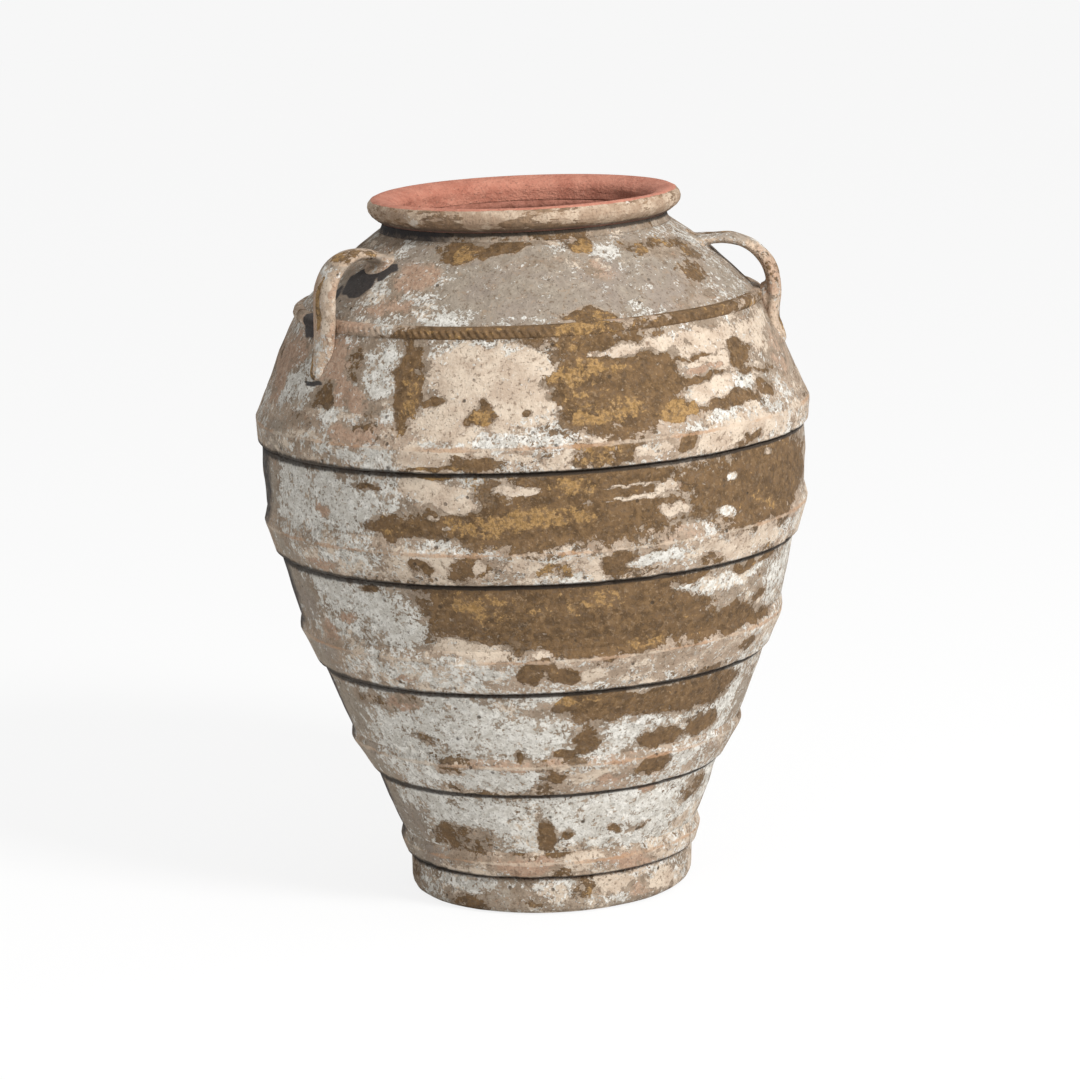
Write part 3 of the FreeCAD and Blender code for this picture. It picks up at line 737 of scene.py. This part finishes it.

# ----------------------------------------
# Belts. A strip of clay is pressed over each wall joint, with a crest along its top and a lip that
# overhangs the wall below. The crests are rubbed pale, partly as a painted highlight, and the lips are
# nibbled, with painted shade under them.

# Each belt's lower seat, lip, crest and upper seat, as (radius, height).
BELTS = {
    1: ((178.5, 53), (183, 51), (190, 69), (187, 84)),
    2: ((218, 167), (222.5, 165), (246.5, 205), (245.5, 217)),
    3: ((280.5, 309), (285, 307), (304.5, 349), (302, 364)),
    4: ((322, 450), (326.5, 448), (340.5, 487), (336, 507)),
    5: ((338.5, 589), (343, 587), (345.5, 615), (328.5, 652)),
}
BELT_PATCHES = {
    1: [
        ("grey", -60, 66, 18, 20, 0.7),
        ("ochre", -20, 70, 20, 14, 0.3),
        ("pink", -10, 64, 14, 12, 0.8),
        ("brown", 2, 78, 5, 6, 0.7),
        ("slip", 10, 66, 8, 10, 0.6),
        ("pink", 34, 64, 14, 12, 0.7),
        ("slip", 52, 68, 14, 10, 0.6),
    ],
    2: [
        ("grey", -62, 190, 14, 26, 0.8),
        ("lime", -18, 190, 14, 14, 1),
        ("lime", -44, 192, 12, 18, 0.85),
        ("brown", -30, 200, 4, 5, 0.6),
        ("brown", 2, 187, 2.4, 6, 1),
        ("slip", 12, 194, 8, 10, 0.8),
        ("brown", 32, 192, 6, 12, 1),
        ("lime", 44, 192, 7, 12, 0.6),
        ("pink", 20, 186, 6, 5, 0.6),
    ],
    3: [
        ("grey", -62, 330, 14, 28, 0.7),
        ("chalk", -44, 332, 13, 20, 0.8),
        ("pink", -34, 322, 5, 8, 0.6),
        ("chalk", -20, 334, 12, 18, 0.8),
        ("brown", 1, 340, 6, 7, 0.6),
        ("brown", -3, 327, 4, 11, 1),
        ("brown", 6, 328, 4, 12, 1),
        ("slip", 11, 330, 2.5, 9, 0.9),
        ("slip", 34, 334, 16, 14, 0.55),
        ("grey", 34, 334, 16, 14, 0.4),
        ("brown", 58, 326, 6, 8, 0.6),
    ],
    4: [
        ("grey", -60, 468, 18, 24, 0.7),
        ("chalk", -46, 472, 14, 22, 0.8),
        ("pink", -52, 462, 5, 8, 0.6),
        ("slip", -20, 470, 3.4, 12, 1),
        ("slip", -27, 476, 3, 6, 0.8),
        ("brown", -25, 467, 3, 7, 0.9),
        ("brown", -14, 470, 4.5, 16, 0.8),
        ("slip", -12, 470, 1.2, 9, 0.9),
        ("slip", -3, 472, 5, 9, 0.7),
        ("ochre", 4, 466, 5, 8, 0.5),
        ("slip", 10, 468, 3, 8, 0.9),
        ("brown", 16, 470, 4, 14, 0.9),
        ("lime", 24, 468, 5, 7, 0.95),
        ("lime", 30, 471, 3, 3, 0.9),
        ("slip", 48, 468, 14, 14, 0.7),
        ("brown", 38, 460, 4, 7, 0.6),
    ],
    5: [
        ("grey", -62, 606, 18, 24, 0.6),
        ("chalk", -50, 608, 12, 18, 0.7),
        ("pink", -42, 620, 7, 9, 0.6),
        ("lime", -33, 602, 6, 14, 0.8),
        ("slip", -22, 603, 8, 15, 1),
        ("brown", -12, 600, 5, 12, 0.9),
        ("slip", -8, 606, 5, 6, 0.8),
        ("slip", 5, 604, 2.4, 6, 0.95),
        ("ochre", 14, 603, 7, 14, 0.7),
        ("slip", 24, 607, 4, 6, 0.9),
        ("brown", 32, 605, 2.6, 14, 1),
        ("slip", 43, 605, 8, 12, 0.9),
        ("slip", 58, 606, 8, 12, 0.7),
        ("brown", 48, 596, 6, 5, 0.6),
        ("ochre", -20, 592, 7, 3, 0.7),
    ],
}
belt_clay = weathered_clay("belt_clay", (0.42, 0.325, 0.245), (0.28, 0.21, 0.15))
for number, (seat_low, lip, crest, seat_top) in BELTS.items():
    rise = (crest[0] - lip[0], crest[1] - lip[1])
    along = math.hypot(*rise)
    lean = (rise[0] / along, rise[1] / along)
    to_seat = (seat_top[0] - crest[0], seat_top[1] - crest[1])
    strip = turn(
        [
            (seat_low[0] - 3, seat_low[1] + 1.5, 1),
            (lip[0] - 2.2, lip[1] - 1.2, 0.4),
            (lip[0] - 0.8, lip[1] - 1.0, 0.4),
            (lip[0] + lean[0] * 1.6 + 0.9, lip[1] + lean[1] * 1.6 - 0.6, 0.8),
            (lip[0] + rise[0] * 0.5 + 0.5, lip[1] + rise[1] * 0.5, 0.8),
            (crest[0] - lean[0] * 4 + 0.4, crest[1] - lean[1] * 4, 0.5),
            (crest[0] - 0.2, crest[1], 0.5),
            (crest[0] + to_seat[0] * 0.35, crest[1] + to_seat[1] * 0.3, 0.8),
            (seat_top[0] - 1.0, seat_top[1] + 1.4, 1),
            (seat_top[0] - 4.0, seat_top[1] - 3.0, 2),
        ],
        around=896,
        fine=0.0026,
    )
    name, node = f"belt_{number}_strip", f"belt_{number}"
    piece = show(strip, name, node, belt_clay, ridges=(lip[1], crest[1]), wear=1.0)
    cover(
        piece.data,
        {"slip": 0.42, "lime": 0.4, "brown": 0.27, "ochre": 0.15, "pink": 0.3},
        WALL_PATCHES[number] + BELT_PATCHES[number],
        # A painted highlight mixed with wear on the crest, and painted shade at the lip.
        ridges=(crest[1],),
        grooves=(lip[1] - UNDER_LIP,),
    )

# ----------------------------------------
# Shoulder. A separate ring closes the jar in from the upper wall to the neck. It is greyer than the
# wall, with a ragged brown crust under the neck, and its inside shows clean red clay.

shoulder = turn(
    [
        (287, 745, 3),
        (278.5, 753.5, 1),
        (256.5, 776.3, 1),
        (232.5, 799.4, 1),
        (206, 821, 1),
        (190, 832.5, 1),
        (181, 839, 2),
        (157, 839, 2),
        (157, 831, 4),
        (267, 741, 3),
    ]
)
shoulder_piece = show(shoulder, "shoulder_ring", "shoulder", jar_clay)
cover(
    shoulder_piece.data,
    {"slip": 0.28, "lime": 0.3, "brown": 0.2, "ochre": 0.15, "pink": 0.3, "grey": 0.5},
    [
        ("grey", 0, 790, 24, 34, 1),
        ("brown", -24, 831, 8, 12, 0.95),
        ("brown", -9, 833, 10, 9, 0.95),
        ("ochre", -22, 828, 5, 9, 0.9),
        ("ochre", 20, 830, 4.5, 9, 0.9),
        ("slip", 7, 838, 6, 4, 0.7),
        ("pink", -36, 803, 9, 15, 0.7),
        ("pink", -40, 770, 10, 14, 0.6),
        ("chalk", -47, 786, 5, 16, 0.7),
        ("chalk", -29, 772, 3, 10, 0.5),
        ("ochre", 44, 822, 9, 8, 0.45),
        ("brown", 34, 776, 10, 6, 0.45),
        ("brown", 54, 786, 10, 10, 0.5),
        ("pink", 24, 806, 7, 8, 0.5),
        ("grey", 38, 786, 12, 24, 0.6),
        ("lime", 30, 822, 6, 8, 0.5),
        ("slip", 52, 812, 8, 10, 0.5),
        ("brown", 15, 760, 6, 8, 0.9),
        ("ochre", 16, 758, 6, 6, 0.6),
        ("ochre", 58, 818, 10, 12, 0.35),
        ("grey", 68, 780, 8, 16, 0.5),
        ("slip", 4, 812, 18, 8, 0.35),
        # Painted shadow of the left handle on the shoulder.
        ("shade_patch", -55.5, 792, 4.5, 12, 1),
        ("shade_patch", -50.5, 806, 5.5, 9, 1),
        ("shade_patch", -59.5, 788, 5, 13, 1),
        ("shade_patch", -66.5, 764, 4.5, 15, 1),
    ]
    + rear_patches(750, 835, 8),
)

# ----------------------------------------
# Neck and rim. A short collar carries a thick coil that is rolled outwards. The coil's outside is
# weathered; its top, which slopes in, and the throat keep the red of the fired clay.

neck = turn(
    [
        (157, 839, 2),
        (181, 839, 1),
        (178.6, 842, 1),
        (177, 847, 1),
        (177.4, 850, 2),
        (157, 850, 2),
    ]
)
neck_piece = show(neck, "neck_collar", "neck_ring", jar_clay)
cover(
    neck_piece.data,
    {"slip": 0.3, "brown": 0.4, "grey": 0.4},
    # Painted shade under the rolled coil on the neck, on the left and at the back, and a painted shade line
    # right under the coil.
    [("shade_patch", -60, 846, 34, 30, 0.6), ("shade_patch", 100, 846, 30, 30, 0.5)],
    grooves=(849,),
)


def rim_clay():
    """Red clay on the top and in the throat, with pale slip and brown chips left on the outside, and
    painted shade under the coil.
    """
    clay = Clay("rim_clay")
    mid = clay.grain(38, 5, 0.62, stretch=0.8)
    small = clay.grain(110, 5, 0.64)
    fine = clay.grain(300, 4, 0.6)
    streak = clay.grain(60, 5, 0.68, stretch=4.5, shift=6.1)

    red_dark, red_light = (0.40, 0.15, 0.10), (0.52, 0.225, 0.155)
    red_dust, red_burnt = (0.56, 0.29, 0.21), (0.30, 0.12, 0.085)
    red = clay.mix(mid.step(0.3, 0.7), red_dark, red_light)
    red = clay.mix(fine.step(0.5, 0.7) * 0.4, red, red_dust)
    red = clay.mix(small.step(0.58, 0.72) * 0.4, red, red_burnt)

    pale_dark, pale_light, pale_grime = (0.34, 0.24, 0.165), (0.50, 0.39, 0.29), (0.24, 0.16, 0.10)
    brown_dark, brown_light, lime_colour = (0.11, 0.065, 0.035), (0.24, 0.15, 0.085), (0.60, 0.54, 0.47)
    pale = clay.mix(mid.step(0.4, 0.6), pale_dark, pale_light)
    pale = clay.mix(fine.step(0.52, 0.64) * 0.5, pale, pale_grime)
    brown = clay.share("brown") + (mid - 0.5) * 0.9 + (streak - 0.5) * 2.0 + (small - 0.5) * 0.9
    brown_colour = clay.mix(small.step(0.35, 0.65), brown_dark, brown_light)
    pale = clay.mix(brown.step(0.45, 0.56) * 0.85, pale, brown_colour)
    lime = (clay.share("lime") + (small - 0.5) * 1.2).step(0.5, 0.6)
    pale = clay.mix(lime * 0.8, pale, lime_colour)
    outside = clay.share("slip") + (small - 0.5) * 0.5 + (mid - 0.5) * 0.35
    colour = clay.mix(outside.step(0.42, 0.56), red, pale)

    # Painted shade in a dark line at the coil's underside.
    groove_shade_colour, pore_dark = (0.07, 0.05, 0.04), (0.14, 0.08, 0.06)
    groove_shade = (clay.share("groove_shade") + (small - 0.5) * 0.6).step(0.3, 0.9)
    colour = clay.mix(groove_shade * 0.75, colour, groove_shade_colour)
    pores = clay.grain(380, 2, 0.5).step(0.63, 0.7)
    colour = clay.mix(pores * 0.4, colour, pore_dark)
    rough = 0.85 + (small - 0.5) * 0.2
    texture = small + fine * 0.5 + streak * 0.6
    return clay.finish(colour, rough, [(texture, 0.9, 0.003), (1 - pores, 0.6, 0.0012)])


coil = turn(
    [
        (157, 850, 1),
        (177.4, 850, 1),
        (183.5, 853.5, 1),
        (190, 858.5, 1),
        (193.4, 863, 1),
        (194.5, 868, 1),
        (193.6, 873, 1),
        (190.2, 877.4, 1),
        (185.5, 879.6, 1),
        (181, 879.9, 1),
        (172, 877.6, 1),
        (164.5, 874.4, 1),
        (159.2, 870.2, 1),
        (157, 865, 1),
    ],
    fine=0.0024,
)
coil_piece = show(coil, "rim_coil", "rim", rim_clay(), ridges=(868,), wear=0.7)
cover(
    coil_piece.data,
    {"brown": 0.42, "lime": 0.22},
    [
        ("brown", 0, 856, 180, 5, 0.5),
        ("chalk", -44, 866, 5, 8, 0.8),
        ("brown", -30, 864, 8, 10, 0.6),
        ("slip", -8, 868, 8, 8, 0.9),
        ("brown", -5, 860, 4, 5, 0.9),
        ("slip", 14, 870, 12, 8, 0.7),
        ("grey", 34, 862, 14, 10, 0.7),
        ("slip", 58, 868, 12, 10, 0.6),
    ],
    # A painted shade line along the coil's underside.
    grooves=(852,),
)
# The coil's slip stops on its top, near this radius, and reaches further in below this height.
SLIP_EDGE, SLIP_TOP = 183, 872
coil_points = spots(coil_piece.data) * 1000
coil_reach = np.hypot(coil_points[:, 0], coil_points[:, 1])
slip_left = ((coil_reach - SLIP_EDGE + (SLIP_TOP - coil_points[:, 2]) * 0.35) / 9).clip(0, 1)
coil_piece.data.attributes["slip"].data.foreach_set("value", slip_left)

# ----------------------------------------
# Cordon. A thin strip runs round the shoulder's corner over the last joint, pressed all along with a
# twisted cord. Weather has softened the marks.

# Marks in one turn, their slant in radians to the metre, their depth, and the strip's middle height.
CORD_MARKS = 204
MARK_SLANT = 420
MARK_DEPTH = 0.0027
CORD_MIDDLE = 0.745
rope = turn(
    [
        (284, 747, 2),
        (290.2, 737.2, 0.6),
        (292.2, 739.5, 0.6),
        (293, 743.5, 0.6),
        (291.4, 748.2, 0.6),
        (286.8, 751.4, 0.6),
        (279, 752.2, 2),
    ],
    around=2048,
    fine=0.0022,
)
rope_piece = show(rope, "cordon_strip", "shoulder_cordon", belt_clay, ridges=(744,), wear=0.5)
marks = spots(rope_piece.data)
proud = (1 - np.abs(marks[:, 2] * 1000 - 744.5) / 7.5).clip(0, 1)
round_jar = np.arctan2(marks[:, 1], marks[:, 0]) * CORD_MARKS
twist = np.sin(round_jar + (marks[:, 2] - CORD_MIDDLE) * MARK_SLANT)
faded = (0.6 + drift(marks, 0.1, 20) * 0.5).clip(0.1, 1)
dent = proud * (twist * 0.5 - 0.5) * MARK_DEPTH * faded
marks[:, :2] *= (1 + dent / np.hypot(marks[:, 0], marks[:, 1]))[:, None]
rope_piece.data.vertices.foreach_set("co", marks.ravel())
cover(
    rope_piece.data,
    {"slip": 0.32, "brown": 0.4, "ochre": 0.4, "pink": 0.35},
    [
        ("pink", -56, 745, 16, 14, 0.6),
        ("lime", -36, 748, 3, 8, 0.7),
        ("brown", -10, 745, 20, 12, 1),
        ("ochre", -14, 745, 12, 8, 0.4),
        ("ochre", 14, 748, 8, 10, 0.9),
        ("brown", 44, 745, 22, 12, 0.9),
        ("ochre", 50, 748, 10, 8, 0.3),
        # Painted shadow of the left handle on the cordon.
        ("shade_patch", -66.5, 745, 4.5, 20, 1),
    ],
)

# ----------------------------------------
# Handles. Each is a strap of clay, pulled oval, rooted in a smeared pad on the shoulder, bent out and
# down over the cordon, and pressed on the wall with a thumbed tail. Each was bent a little differently.

# Each handle's turn about the axis, then its bend: its radius, its centre and its upper run's slope.
HANDLES = {
    "left": (-146, 48, 246, 779, 25),
    "right": (-6, 60, 245, 755, 5),
    "back": (104, 57, 246, 760, 8),
}
STRAP_ROOT_OUT = 200
STRAP_END = (302, 700)
RUN_STEPS, BEND_STEPS = 8, 18
handle_clay = weathered_clay("handle_clay", (0.56, 0.43, 0.32), (0.41, 0.31, 0.225))


def steps_between(start, end):
    """The points of a straight run, its end left out."""
    for i in range(RUN_STEPS):
        share = i / RUN_STEPS
        yield start[0] + (end[0] - start[0]) * share, start[1] + (end[1] - start[1]) * share


def strap_line(bend, out, up, rise):
    """The strap's middle line as (radius, height): the upper run, the bend and the run down the wall."""
    high = math.radians(90 + rise)
    over = (out + bend * math.cos(high), up + bend * math.sin(high))
    root = (STRAP_ROOT_OUT, over[1] - (over[0] - STRAP_ROOT_OUT) * math.tan(math.radians(rise)))
    away = (STRAP_END[0] - out, STRAP_END[1] - up)
    low = math.atan2(away[1], away[0]) + math.acos(bend / math.hypot(*away))
    down = (out + bend * math.cos(low), up + bend * math.sin(low))
    points = list(steps_between(root, over))
    for i in range(BEND_STEPS + 1):
        a = high + (low - high) * i / BEND_STEPS
        points.append((out + bend * math.cos(a), up + bend * math.sin(a)))
    return points + list(steps_between(down, STRAP_END))[1:] + [STRAP_END]


# In metres: half the strap's width, half its least thickness, and what it gains at the root and the tail.
STRAP_HALF = 0.022
STRAP_THIN, ROOT_GAIN, TAIL_GAIN = 0.0072, 0.002, 0.0021

# Clay smeared on: radius, height, lean in degrees, and the half height, depth and width.
SMEARS = {
    "pad": (214, 807.5, 48.8, 28, 7.5, 31),
    "tail": (300.5, 714, 23.8, 33, 10.5, 17.5),
    "thumbed end": (309, 694, 23.8, 15, 8, 15.5),
    "heel": (297, 735, 12, 24, 9, 18),
}


def strap_section(line, i, seed):
    """Places a unit ring across the strap's line at its point I."""
    ahead = (line[min(i + 1, len(line) - 1)] - line[max(i - 1, 0)]).normalized()
    out = Vector((0, 1, 0)).cross(ahead)
    share = i / (len(line) - 1)
    flare = 0.35 * max(0.0, 1 - share * 5) + 0.06 * math.sin(share * 9 + seed)
    wide = STRAP_HALF * (1 + flare)
    thick = STRAP_THIN + TAIL_GAIN * min(1.0, max(0.0, share * 2.6 - 1.0))
    thick += ROOT_GAIN * max(0.0, 1 - share * 6)
    stray = 0.0012 * math.sin(share * 5 + seed)
    return Matrix(
        (
            (0, out.x * thick, ahead.x, line[i].x),
            (wide, 0, ahead.y, line[i].y + stray),
            (0, out.z * thick, ahead.z, line[i].z),
            (0, 0, 0, 1),
        )
    )


def strap_mesh(seed, *bent):
    """A handle in its own plane: a strap, its pad and its tail, before they are smoothed into one."""
    bm = bmesh.new()
    line = [Vector((r / 1000, 0, z / 1000)) for r, z in strap_line(*bent)]
    moved = bmesh.ops.create_circle(bm, segments=28, radius=1, cap_ends=False)["verts"]
    edges = bm.edges[:]
    bmesh.ops.transform(bm, matrix=strap_section(line, 0, seed), verts=moved)
    for i in range(1, len(line)):
        grown = bmesh.ops.extrude_edge_only(bm, edges=edges)["geom"]
        moved = [part for part in grown if isinstance(part, bmesh.types.BMVert)]
        edges = [part for part in grown if isinstance(part, bmesh.types.BMEdge)]
        edges = [edge for edge in edges if all(v in moved for v in edge.verts)]
        change = strap_section(line, i, seed) @ strap_section(line, i - 1, seed).inverted()
        bmesh.ops.transform(bm, matrix=change, verts=moved)
    bmesh.ops.holes_fill(bm, edges=[edge for edge in bm.edges if edge.is_boundary], sides=0)
    for radius, height, lean, tall, deep, broad in SMEARS.values():
        place = (
            Matrix.Translation((radius / 1000, 0, height / 1000))
            @ Matrix.Rotation(math.radians(-lean), 4, "Y")
            @ Matrix.Diagonal((deep / 1000, broad / 1000, tall / 1000, 1))
        )
        bmesh.ops.create_uvsphere(bm, u_segments=32, v_segments=20, radius=1, matrix=place)
    bmesh.ops.recalc_face_normals(bm, faces=bm.faces[:])
    return bm


def lute(bm, name):
    """The handle's loose shells made one solid and rubbed smooth, as a new bmesh."""
    holder = put(name, mesh_of(bm, name))
    remesh = holder.modifiers.new("luted", "REMESH")
    remesh.mode = "VOXEL"
    remesh.voxel_size = 0.0016
    rub = holder.modifiers.new("rubbed", "SMOOTH")
    rub.factor, rub.iterations = 0.6, 14
    solid = bpy.data.meshes.new_from_object(holder.evaluated_get(bpy.context.evaluated_depsgraph_get()))
    bpy.data.objects.remove(holder)
    whole = bmesh.new()
    whole.from_mesh(solid)
    bpy.data.meshes.remove(solid)
    return whole


THUMB_MARKS_PER_METRE = 45
THUMB_DEPTH = 0.0009
for side, (degrees, *bent) in HANDLES.items():
    strap = lute(strap_mesh(degrees / 40, *bent), f"handle_{side}_raw")
    for v in strap.verts:
        thumbed = noise.noise(v.co * THUMB_MARKS_PER_METRE + Vector((degrees, 0, 0)))
        v.co += v.normal * thumbed * THUMB_DEPTH
    turned = Matrix.Rotation(math.radians(degrees), 3, "Z")
    bmesh.ops.rotate(strap, verts=strap.verts[:], cent=(0, 0, 0), matrix=turned)
    piece = show(strap, f"strap_{side}", f"handle_{side}", handle_clay)
    at = (degrees + 90 + 180) % 360 - 180
    cover(
        piece.data,
        {"slip": 0.26, "brown": 0.2, "ochre": 0.3, "pink": 0.5, "lime": 0.26},
        [
            ("grey", at, 822, 6, 16, 0.75),
            ("lime", at + 1, 800, 2, 12, 0.5),
            ("ochre", at + 0.6, 768, 1.3, 26, 0.95),
            ("ochre", at + 1, 826, 3, 7, 0.7),
            ("slip", at + 3, 772, 1.2, 34, 0.7),
            ("ochre", at - 0.4, 706, 1.3, 18, 0.8),
        ],
        hollow=False,
    )

# ----------------------------------------
# Room and camera. The jar stands on a pale floor under a large soft light from the upper right, with
# a pale room all round.

# The floor's half width in metres, its colour, the share of white that the camera sees on it, and the
# room's strength as light and as the camera sees it, which matches the floor's far edge.
FLOOR_HALF = 14
FLOOR_COLOUR = (0.88, 0.88, 0.875, 1)
FLOOR_GLOW = 0.84
WHITE = (1, 1, 1, 1)
ROOM_LIGHT = 0.62
ROOM_SEEN = 0.93
floor_bm = bmesh.new()
bmesh.ops.create_grid(floor_bm, x_segments=1, y_segments=1, size=FLOOR_HALF)
floor = put("floor", mesh_of(floor_bm, "floor"))


def show_camera(recipe, end, other, seen, strength):
    """Feeds END so that the camera sees SEEN in a share of STRENGTH, and every other ray OTHER."""
    by_camera = recipe.node("ShaderNodeLightPath", {}, out="Is Camera Ray")
    values = {0: by_camera * strength, 1: other, 2: seen}
    recipe.feed(end.inputs["Surface"], recipe.node("ShaderNodeMixShader", values))


paint = bpy.data.materials.new("floor_paint")
paint.use_nodes = True
parts = paint.node_tree.nodes
coat = Recipe(paint.node_tree)
coat.feed(parts["Principled BSDF"].inputs["Base Color"], FLOOR_COLOUR)
coat.feed(parts["Principled BSDF"].inputs["Roughness"], 0.9)
painted = Socket(coat, parts["Principled BSDF"].outputs[0])
glow = coat.node("ShaderNodeEmission", {"Color": WHITE, "Strength": 1.0})
show_camera(coat, parts["Material Output"], painted, glow, FLOOR_GLOW)
floor.data.materials.append(paint)

world = bpy.data.worlds.new("room")
bpy.context.scene.world = world
world.use_nodes = True
parts = world.node_tree.nodes
room = Recipe(world.node_tree)
room.feed(parts["Background"].inputs["Color"], WHITE)
room.feed(parts["Background"].inputs["Strength"], ROOM_LIGHT)
sky = Socket(room, parts["Background"].outputs[0])
backdrop = room.node("ShaderNodeBackground", {"Color": WHITE, "Strength": ROOM_SEEN})
show_camera(room, parts["World Output"], sky, backdrop, 1.0)

# A soft lamp of this size and power, in metres and watts, hung to the right of the camera.
LAMP_SIZE, LAMP_POWER = 1.1, 260
lamp_data = bpy.data.lights.new("key", "AREA")
lamp_data.size = LAMP_SIZE
lamp_data.energy = LAMP_POWER
lamp = put("key", lamp_data)
lamp.location = (2.6, -3.0, 3.4)
lamp.rotation_euler = (Vector((0, 0, 0.45)) - lamp.location).to_track_quat("-Z", "Y").to_euler()

# The lens and its frame in millimetres. The pose's columns are the camera's right, up, back and place.
LENS, FRAME = 142.55, 36
SIGHT = 100
POSE = (
    (0.999035, 0.043929, -0.000448, 0.0),
    (-0.008823, 0.190641, -0.981620, -5.2805),
    (-0.043036, 0.980677, 0.190844, 1.4656),
    (0, 0, 0, 1),
)
camera_data = bpy.data.cameras.new("camera")
camera_data.sensor_width = FRAME
camera_data.lens = LENS
camera_data.clip_end = SIGHT
camera = put("camera", camera_data)
camera.matrix_world = Matrix(POSE)
bpy.context.scene.camera = camera
bpy.context.scene.view_settings.view_transform = "Standard"
